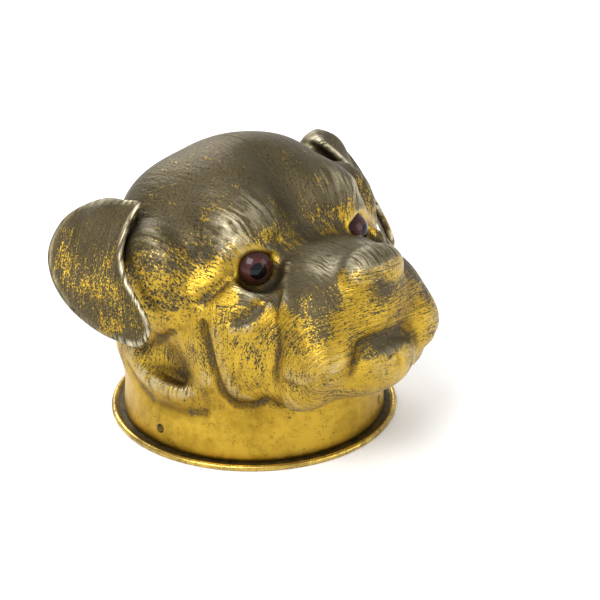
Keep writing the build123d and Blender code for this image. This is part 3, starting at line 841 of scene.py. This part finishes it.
def neighbours(piece):
    """A function that gives each point the mean of the values at its neighbours."""
    ends = np.zeros(len(piece.data.edges) * 2, int)
    piece.data.edges.foreach_get("vertices", ends)
    a, b = ends.reshape(-1, 2).T
    count = np.bincount(np.r_[a, b], minlength=len(piece.data.vertices)).clip(1)

    def mean(values):
        values = values.reshape(len(count), -1)
        total = [np.bincount(np.r_[a, b], np.r_[v[b], v[a]], len(count)) for v in values.T]
        return np.stack(total, axis=-1) / count[:, None]
    return mean


def press_and_relax(piece, field, rounds):
    """Presses the piece onto the form, evens its points out, and presses again."""
    mean = neighbours(piece)
    places = press_onto(field, get_points(piece), rounds)
    for _ in range(2):
        places = places + 0.5 * (mean(places) - places)
        places = press_onto(field, places, 2)
    set_points(piece, places)
    return places


set_points(head, press_onto(lambda p: clay(p, fine=False), get_points(head), 12))
remesh(head, SKIN_VOXEL)
points = press_and_relax(head, clay, 4)
mean_of = neighbours(head)
eye_gap = np.linalg.norm(folded_side(points) - EYE_MIDDLE, axis=-1)
lid_share = 0.7 * np.clip((LID_CALM_REACH - eye_gap) / 2, 0, 1)[:, None]
for _ in range(LID_CALM_ROUNDS):
    points = points + lid_share * (mean_of(points) - points)
set_points(head, points)
print("pressed: worst point is", round(float(np.abs(clay(points)).max()), 2), "mm off")

# %% [markdown]
# ## Painting darkening, highlights and fur onto the points
# Hands polish ridges, and the folds darken, partly with dirt and partly as painted shade, so both are read
# from the shape: a point that lies below the average of its neighbourhood is hollow, one above it is worn. A
# few listed spots on the brows and the nose get painted highlights. The darkening of the crown follows
# height and the way the surface faces: it is patina with painted dark reflection on faces that look up, and
# painted shade under the lip and beside the eyes. The fur flows are four simple maps: meridians from the
# brow over the skull, upright lines round the cheeks and neck, rings round the mouth corner, and lines along
# the muzzle's top.

# %% Darkening, highlight and fur attributes
def paint(piece, name, values, kind="FLOAT"):
    layer = piece.data.attributes.new(name, kind, "POINT")
    field = "vector" if kind == "FLOAT_VECTOR" else "value"
    layer.data.foreach_set(field, values.astype(np.float32).ravel())


def ramp(values, low, high):
    t = np.clip((values - low) / (high - low), 0, 1)
    return t * t * (3 - 2 * t)


def point_normals(piece):
    flat = np.zeros(len(piece.data.vertices) * 3)
    piece.data.vertex_normals.foreach_get("vector", flat)
    return flat.reshape(-1, 3)


def relief(piece, points, rounds):
    """How far each point lies above (+) or below (-) its surroundings, in mm."""
    mean = neighbours(piece)
    smooth = points
    for _ in range(rounds):
        smooth = mean(smooth)
    return ((points - smooth) * point_normals(piece)).sum(-1)


def near(points, middle, reach):
    return np.exp(-(np.linalg.norm(points - np.array(middle, float), axis=-1) / reach) ** 2)


STOP, LIP_CENTRE = (0, -22, 55), (0, -52, 30)  # the hair runs out from one, round the other
SKULL_R, CHEEK_R, FLEW_R = 26, 32, 16          # turn angles into millimetres
SIDE_STEP = 7.0                                # keeps the two sides' noise apart


def flow_maps(points):
    """Along and across each region's hair, in millimetres."""
    side = folded_side(points)
    from_stop = side - np.array(STOP)
    over_skull = from_stop[:, 2] * 0.8 + from_stop[:, 1] * 0.6 + 40
    skull = [np.linalg.norm(from_stop, axis=-1), np.arctan2(from_stop[:, 0], over_skull) * SKULL_R]
    cheek = [side[:, 2], np.arctan2(side[:, 0], -side[:, 1]) * CHEEK_R]
    _, back, up = (side - np.array(LIP_CENTRE)).T
    flew = [np.arctan2(back, up) * FLEW_R, np.hypot(back, up)]
    bridge = [side[:, 1], side[:, 0]]
    return {"skull": skull, "cheek": cheek, "flew": flew, "bridge": bridge}


def region_masks(points, normals):
    side = folded_side(points)
    muzzle = ramp(-side[:, 1] - 0.35 * (side[:, 2] - 40).clip(0), 25, 29)
    high = ramp(side[:, 2] + 0.25 * (side[:, 1] + 10), 36, 44)
    upper = ramp(normals[:, 2], 0.4, 0.75)
    return {"skull": (1 - muzzle) * high, "cheek": (1 - muzzle) * (1 - high),
            "flew": muzzle * (1 - upper), "bridge": muzzle * upper}


def fur_cover(points):
    """Where the metal is chased with hair: not on the neck band, nose, trough or lids."""
    side = folded_side(points)
    cover = ramp(side[:, 2], 11, 17)
    cover = cover * (1 - 0.8 * near(side, (0, -46.5, 53), 7.0))
    cover = cover * (1 - 0.75 * near(side, (0, -52, 29), 8))
    furrow, _, _ = FOLDS["furrow"]
    cover = cover * (1 - 0.85 * np.exp(-((to_line(side, furrow) / 7.0) ** 2)))
    eye_gap = np.linalg.norm(side - EYE_MIDDLE, axis=-1)
    return cover * ramp(eye_gap, 6.0, 8.5)


def paint_fur(piece, points, normals):
    for region, (along, across) in flow_maps(points).items():
        flow = np.column_stack([along, across, np.sign(points[:, 0]) * SIDE_STEP])
        paint(piece, "flow_" + region, flow, "FLOAT_VECTOR")
    for region, mask in region_masks(points, normals).items():
        paint(piece, "fur_" + region, mask)
    paint(piece, "fur_cover", fur_cover(points))


def crown_dark(points, normals):
    """Gold low down and on the cheeks, brown on the crown, the nose and the muzzle's top. The brown is
    patina, with painted dark reflection on upward faces and painted shade under the lip and beside the eyes.
    """
    side = folded_side(points)
    # Upward faces darker: patina, and painted dark reflection.
    top = ramp(side[:, 2] + 0.3 * side[:, 1], 34, 62) * (0.6 + 0.4 * ramp(normals[:, 2], -0.2, 0.7))
    back = 0.75 * ramp(side[:, 1], 12, 30) * ramp(side[:, 2], 12, 30)
    nose = 0.8 * near(side, (0, -47, 50), 9)
    # The muzzle's upward faces: painted dark reflection, with patina.
    muzzle_top = 0.95 * ramp(normals[:, 2], 0.25, 0.75) * ramp(-side[:, 1], 20, 26)
    muzzle = 0.34 * ramp(-side[:, 1], 26, 32) * ramp(side[:, 2], 26, 40)
    # Painted shade: on the chin's top under the upper lip, under the brow above the eye, and in the crease
    # under the eye.
    chin_top = 0.95 * near(side, (3, -49.5, 35.5), 4.5)
    over_eye = 0.62 * near(side, (25, -17, 57), 3.5)
    under_eye = 0.62 * near(side, (25, -25, 43.5), 4)
    base = 0.14 + 0.16 * ramp(side[:, 2], 10, 24)
    parts = [top, back, nose, muzzle_top, muzzle, chin_top, over_eye, under_eye, base]
    trough = 0.3 * near(side, (0, -14, 64), 8)
    return np.clip(np.maximum.reduce(parts) - trough, 0, 1)


normals = point_normals(head)
wide, tight = relief(head, points, 24), relief(head, points, 5)
for scale, heights in (("wide", wide), ("tight", tight)):
    print(scale, "relief in mm:", np.round(np.percentile(heights, [1, 50, 99]), 3))
# Painted highlights: pale worn gold at three spots on the brows and the bridge of the nose, added to the
# wear on ridges.
PAINTED_HIGHLIGHTS = [((21, -17, 60.5), 4.5, 0.9), ((9, -36, 55), 3.5, 0.9), ((14, -16, 64), 4, 0.5)]
wear_and_highlight = ramp(wide, 0.3, 0.8) * 0.5
for spot, reach, amount in PAINTED_HIGHLIGHTS:
    wear_and_highlight = np.maximum(wear_and_highlight, amount * near(folded_side(points), spot, reach))
# Hollows darken: partly dirt, partly painted shade in the folds.
hollow = 0.5 * ramp(-tight, 0.03, 0.2) + 0.9 * ramp(-wide, 0.1, 0.7)
paint(head, "patina_shade_reflection", crown_dark(points, normals))
paint(head, "hollow", np.clip(hollow, 0, 1))
paint(head, "wear_and_highlight", np.clip(wear_and_highlight, 0, 1))
paint_fur(head, points, normals)

# %% [markdown]
# ## Opening the head and giving it a wall
# The pressing is open below, so the skin is bisected at the CAD head's lower edge and the
# part under it thrown away. Solidify then gives it the wall of pressed sheet.

# %% Cut the neck open, thicken, give it its finish
HEAD_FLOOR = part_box("head_shell")[0].z
WALL = 1.3 * MM
select_only(head)
bpy.ops.object.mode_set(mode="EDIT")
bpy.ops.mesh.select_all(action="SELECT")
bpy.ops.mesh.bisect(plane_co=(0, 0, HEAD_FLOOR), plane_no=(0, 0, 1), clear_inner=True)
bpy.ops.object.mode_set(mode="OBJECT")
apply_modifier(head, "SOLIDIFY", thickness=WALL, offset=-1.0, use_even_offset=False)
select_only(head)
bpy.ops.object.shade_smooth()
hand_in(head, GILT_HEAD, "head", "gilt_brass", "head_shell")
print("head triangles:", sum(len(p.vertices) - 2 for p in head.data.polygons))

# %% [markdown]
# ## The ears
# Each ear is a pressed flap soldered to the skull by a root behind it. The flap's outline
# is a closed run of corners on the plane that the ear faces along. It is filled, given
# thickness, fused with the root, and pressed onto a form with a shallow dish and a rim.

# %% Ear form
EAR_MIDDLE = np.array([45.8, 7.5, 50.9])
EAR_TURN, EAR_TILT = math.radians(56.7), math.radians(34.7)
EAR_OUT = np.array([math.cos(EAR_TILT) * math.sin(EAR_TURN), -math.cos(EAR_TILT) * math.cos(EAR_TURN),
                    math.sin(EAR_TILT)])
EAR_ACROSS = np.array([math.cos(EAR_TURN), math.sin(EAR_TURN), 0.0])
EAR_UP = np.cross(EAR_OUT, EAR_ACROSS)
EAR_T = 2.2
EAR_ROOT = ((36.0, 13.5, 52.5), (10, 6, 11))
EAR_OUTLINE = [
    (-9, 17.5), (-7.5, 10.5), (-7, 4.5), (-9, -1.5), (-12, -6), (-15.5, -11), (-16.3, -15),
    (-13.5, -18), (-8.5, -17.3), (-3, -15.5), (3, -12), (7.3, -8), (10.3, -3.5), (12, 2),
    (11.5, 7.5), (9.3, 12.5), (5, 15.8), (-2.5, 17.3)]


def smooth_loop(corners, steps):
    """A round curve through the corners, closed (a Catmull-Rom spline)."""
    p = np.array(corners, float)
    before, after, beyond = np.roll(p, 1, 0), np.roll(p, -1, 0), np.roll(p, -2, 0)
    out = []
    for t in np.arange(steps) / steps:
        bend = (2 * before - 5 * p + 4 * after - beyond) * t**2
        swing = (3 * p - before - 3 * after + beyond) * t**3
        out.append(0.5 * (2 * p + (after - before) * t + bend + swing))
    return np.stack(out, axis=1).reshape(-1, 2)


EAR_EDGE = smooth_loop(EAR_OUTLINE, 4)


def bow(x, y):
    """How far the flap stands out of its plane: curled back at top and bottom."""
    return (0.77 * x**2 - 1.76 * y**2 - 0.88 * x * y) / 200


def inside_outline(x, y):
    """Distance from the outline, negative inside it."""
    away, crossings = np.full(len(x), 1e9), np.zeros(len(x), bool)
    for a, b in zip(EAR_EDGE, np.roll(EAR_EDGE, -1, 0)):
        span = b - a
        t = np.clip(((x - a[0]) * span[0] + (y - a[1]) * span[1]) / (span @ span), 0, 1)
        away = np.minimum(away, np.hypot(x - a[0] - t * span[0], y - a[1] - t * span[1]))
        straddles = (a[1] > y) != (b[1] > y)
        cut = (b[0] - a[0]) * (y - a[1]) / (b[1] - a[1] + 1e-12) + a[0]
        crossings ^= straddles & (x < cut)
    return np.where(crossings, -away, away)


def ear_clay(points):
    local = folded_side(points) - EAR_MIDDLE
    x, y, out = local @ EAR_ACROSS, local @ EAR_UP, local @ EAR_OUT
    edge = inside_outline(x, y)
    dish = 0.9 * ramp(-edge, 0.4, 4.0)
    sheet = np.abs(out - bow(x, y) + EAR_T / 2 + dish * 0.5) - (EAR_T / 2 - dish * 0.25)
    flap = carve(sheet, -edge, 1.1)
    root = egg(folded_side(points), *EAR_ROOT)
    return melt(flap, root, 3.0)


def ear_blank(name, side):
    """The filled outline with thickness, joined to an egg for the root."""
    piece = new_piece(
        name, bpy.ops.mesh.primitive_circle_add, vertices=len(EAR_EDGE), fill_type="NGON")
    x, y = EAR_EDGE.T
    flat = EAR_MIDDLE + np.outer(x, EAR_ACROSS) + np.outer(y, EAR_UP)
    flat = flat + np.outer(bow(x, y) - EAR_T, EAR_OUT)
    set_points(piece, flat)
    select_only(piece)
    bpy.ops.object.mode_set(mode="EDIT")
    bpy.ops.mesh.select_all(action="SELECT")
    thickness = EAR_OUT * (EAR_T + 0.5) * MM
    bpy.ops.mesh.extrude_region_move(TRANSFORM_OT_translate={"value": thickness})
    bpy.ops.mesh.select_all(action="SELECT")
    bpy.ops.mesh.quads_convert_to_tris()
    bpy.ops.mesh.normals_make_consistent(inside=False)
    bpy.ops.object.mode_set(mode="OBJECT")
    middle, radii = EAR_ROOT
    root = new_piece(name + "_root", bpy.ops.mesh.primitive_uv_sphere_add, segments=48, ring_count=24,
                     radius=1.0, location=[m * MM for m in middle], scale=[r * MM for r in radii])
    piece = joined(name, [piece, root])
    mirrored = get_points(piece) * np.array([side, 1, 1])
    set_points(piece, mirrored)
    tidy_normals(piece)
    return piece


# %% Press, paint and finish both ears
EAR_VOXEL = 0.5


def make_ear(name, side, node):
    piece = ear_blank(name, side)
    remesh(piece, EAR_VOXEL)
    places = press_and_relax(piece, ear_clay, 4)
    local = folded_side(places) - EAR_MIDDLE
    x, y = local @ EAR_ACROSS, local @ EAR_UP
    edge = inside_outline(x, y)
    facing = point_normals(piece) * np.array([side, 1, 1]) @ EAR_OUT
    front = ramp(facing, 0.1, 0.6)
    flow = np.column_stack([y, x + 0.012 * y * y, np.full(len(x), SIDE_STEP * side)])
    paint(piece, "flow_ear", flow, "FLOAT_VECTOR")
    paint(piece, "fur_ear", np.ones(len(x)))
    paint(piece, "fur_cover", ramp(-edge, 0.8, 2.0))
    # Patina, darker towards the top, with painted shade where the flap faces away.
    paint(piece, "patina_shade_reflection", np.clip(0.60 + 0.35 * ramp(y, -4, 12) + 0.3 * (1 - front), 0, 1))
    # A band inside the rim darkens: partly dirt, partly painted shade.
    paint(piece, "hollow", 0.45 * ramp(-edge, 0.9, 1.8) * (1 - ramp(-edge, 2.0, 4.5)) * front)
    # The rim's front edge gets a painted highlight on top of its wear.
    front_edge = ramp(-(x - 0.12 * y), 5.0, 9.0)
    rim = 1 - ramp(-edge, 0.5, 1.6)
    paint(piece, "wear_and_highlight", rim * (0.25 + 0.75 * front_edge) * ramp(facing, -0.5, 0.2))
    select_only(piece)
    bpy.ops.object.shade_smooth()
    hand_in(piece, GILT_EAR, "head", "gilt_brass", node)
    return piece


for name, side, node in (("ear_flap_left", 1, "ear_left"), ("ear_flap_right", -1, "ear_right")):
    make_ear(name, side, node)

# %% [markdown]
# ## The eyes
# A glass eye is a ball with a pupil fused into it, held in a cup behind the lids. Each is
# a fine sphere turned to look the way the CAD eye looks, with its back cut flat.

# %% Glass eyes, pupils and cups
PUPIL_R, PUPIL_REACH, GLASS_BACK = 2.3, 3.4, -1.5
CUP_WALL, CUP_FLOOR, CUP_LIP = 1.2, 0.9, 0.2


def eye_parts(tag, side):
    look = Vector((side * EYE_LOOK[0], EYE_LOOK[1], EYE_LOOK[2]))
    middle = Vector((side * EYE_MIDDLE[0], EYE_MIDDLE[1], EYE_MIDDLE[2])) * MM
    turn = look.to_track_quat("Z", "Y").to_euler()
    ball = new_piece(
        "eye_glass_" + tag, bpy.ops.mesh.primitive_uv_sphere_add, segments=64, ring_count=48,
        radius=EYE_BALL_R * MM, location=middle, rotation=turn)
    select_only(ball)
    bpy.ops.object.mode_set(mode="EDIT")
    bpy.ops.mesh.select_all(action="SELECT")
    glass_back = middle + look * GLASS_BACK * MM
    bpy.ops.mesh.bisect(plane_co=glass_back, plane_no=look, clear_inner=True, use_fill=True)
    bpy.ops.object.mode_set(mode="OBJECT")
    smooth_by_angle(ball, 40)
    from_middle = get_points(ball) - np.array(middle) / MM
    ahead = from_middle @ np.array(look)
    paint(ball, "iris", np.sqrt(np.maximum((from_middle**2).sum(-1) - ahead**2, 0)))
    hand_in(ball, EYE_GLASS, "head", "eye_glass", "eye_" + tag)
    deep = (PUPIL_REACH - GLASS_BACK) * MM
    pupil = new_piece(
        "pupil_" + tag + "_fused", bpy.ops.mesh.primitive_cylinder_add, vertices=48,
        radius=PUPIL_R * MM, depth=deep, location=glass_back + look * deep / 2, rotation=turn)
    apply_modifier(pupil, "BEVEL", width=0.5 * MM, segments=4, limit_method="ANGLE")
    smooth_by_angle(pupil, 50)
    hand_in(pupil, PUPIL_GLASS, "head", "pupil_glass", "pupil_" + tag)
    outer, floor_z = EYE_BALL_R + CUP_WALL, GLASS_BACK - CUP_FLOOR
    profile = [(CENTRE_R / MM, floor_z), (outer, floor_z), (outer, CUP_LIP), (EYE_BALL_R, CUP_LIP),
               (EYE_BALL_R, GLASS_BACK), (CENTRE_R / MM, GLASS_BACK)]
    cup = turned_piece("eye_cup_" + tag + "_pressed", [(r * MM, z * MM) for r, z in profile], 48)
    turn_matrix = np.array(look.to_track_quat("Z", "Y").to_matrix())
    set_points(cup, get_points(cup) @ turn_matrix.T + np.array(middle) / MM)
    hand_in(cup, INSIDE_BRASS, "head", "plain_brass", "eye_cup_" + tag)


for tag, side in (("left", 1), ("right", -1)):
    eye_parts(tag, side)

# %% [markdown]
# ## Rivets and the hinge
# The neck rivets are turned heads, each domed by hammering. The hinge's leaves and pin
# keep their CAD solids, because flat sheet and drawn barrels are already right, and only
# get their metal.

# %% Neck rivets
RIVET_TURNS = (-176.0, -59.0, 67.0)
RIVET_Z, RIVET_R, RIVET_HEAD_R = 5.4 * MM, 0.8 * MM, 1.2 * MM
RIVET_DOME, RIVET_SHANK = 0.38 * MM, 2.2 * MM
RIVET_RIM, RIVET_SINK = 0.08 * MM, 0.04 * MM
PLAIN = {"patina_shade_reflection": 0.35, "wear_and_highlight": 0.35, "hollow": 0.0, "fur_cover": 0.0}


def domed_rivet(name, turn):
    """A button head and its shank, pointing out of the neck at this turn."""
    face = low_r * MM - NECK_LEAN * RIVET_Z
    dome = [
        (CENTRE_R, RIVET_DOME), (RIVET_HEAD_R * 0.45, RIVET_DOME * 0.93),
        (RIVET_HEAD_R * 0.8, RIVET_DOME * 0.62), (RIVET_HEAD_R, RIVET_RIM), (RIVET_HEAD_R, -RIVET_SINK)]
    shank = [(RIVET_R, -RIVET_SINK), (RIVET_R, -RIVET_SHANK), (CENTRE_R, -RIVET_SHANK)]
    rivet = turned_piece(name, dome + shank, 32, edge_angle=50)
    places = get_points(rivet) * MM
    outward = np.array([math.cos(math.radians(turn)), math.sin(math.radians(turn)), 0])
    sideways = np.array([-outward[1], outward[0], 0])
    moved = np.outer(places[:, 2] + face, outward) + np.outer(places[:, 0], sideways)
    moved = moved + np.outer(places[:, 1], (0, 0, 1)) + np.array([0, 0, RIVET_Z])
    set_points(rivet, moved / MM)
    tidy_normals(rivet)
    return rivet


singles = [domed_rivet(f"rivet_{k}", turn) for k, turn in enumerate(RIVET_TURNS)]
rivets = joined("neck_rivets_domed", singles)
for name, value in PLAIN.items():
    paint(rivets, name, np.full(len(rivets.data.vertices), value))
hand_in(rivets, GILT_HEAD, "head", "gilt_brass", "neck_rivets")

# %% Metals for the CAD nodes that stay
KEPT_NODES = {
    "hinge_base_leaf": HINGE_BRASS, "hinge_head_leaf": HINGE_BRASS, "base_leaf_rivets": HINGE_BRASS,
    "head_leaf_rivets": HINGE_BRASS, "gallery_rivets": INSIDE_BRASS, "hinge_pin": PIN_STEEL}
for node, material in KEPT_NODES.items():
    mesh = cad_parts[node].data
    mesh.materials.clear()
    mesh.materials.append(material)
    print(node, "keeps its solid, in", material.name)

# %% [markdown]
# ## Floor, light and camera
# The inkwell stands on a plain white sweep. One large soft light high on the left gives
# the highlights their shape, a weaker one fills from the right, one from behind lights the
# crown's edge, and the pale world does the rest. The camera stands ahead of the dog's
# right cheek, looking down a little.

# %% Sweep
def paper():
    material, tree, shader = new_material("paper_sweep")
    fibre = noise(tree, place(tree), 8.0, 4.0)
    tint = blend_colour(tree, fibre, (0.93, 0.93, 0.93, 1), (0.90, 0.90, 0.90, 1))
    set_shader(tree, shader, {"Base Color": tint, "Roughness": 0.9})
    return material


floor = new_piece("sweep", bpy.ops.mesh.primitive_plane_add, size=3.0)
floor.data.materials.append(paper())


# %% Lights and world
def area_light(name, energy, size, place_at, aim_at):
    light = bpy.data.lights.new(name, "AREA")
    light.energy, light.size = energy, size
    obj = bpy.data.objects.new(name, light)
    bpy.context.scene.collection.objects.link(obj)
    obj.location = place_at
    obj.rotation_euler = (Vector(aim_at) - Vector(place_at)).to_track_quat("-Z", "Y").to_euler()


OBJECT_MIDDLE = (0, -0.008, 0.035)
area_light("key", 6.0, 0.5, (-0.55, -0.15, 0.65), OBJECT_MIDDLE)
area_light("fill", 1.6, 0.5, (0.35, -0.65, 0.35), OBJECT_MIDDLE)
area_light("back", 3.0, 0.4, (0.2, 0.6, 0.5), OBJECT_MIDDLE)
bpy.context.scene.view_settings.view_transform = "Standard"
world = bpy.data.worlds.new("pale_room")
bpy.context.scene.world = world
world.use_nodes = True
world.node_tree.nodes["Background"].inputs["Color"].default_value = (1, 1, 1, 1)
world.node_tree.nodes["Background"].inputs["Strength"].default_value = 0.8

# %% Camera
camera = bpy.data.objects.new("camera", bpy.data.cameras.new("camera"))
bpy.context.scene.collection.objects.link(camera)
camera.location = (-0.3056, -0.3456, 0.2459)
CAMERA_BACK = Vector((-0.6175, -0.6622, 0.4244))
camera.rotation_euler = (-CAMERA_BACK).to_track_quat("-Z", "Y").to_euler()
camera.data.sensor_width = 36
camera.data.lens = 117.1
camera.data.clip_start, camera.data.clip_end = 0.01, 10
bpy.context.scene.camera = camera
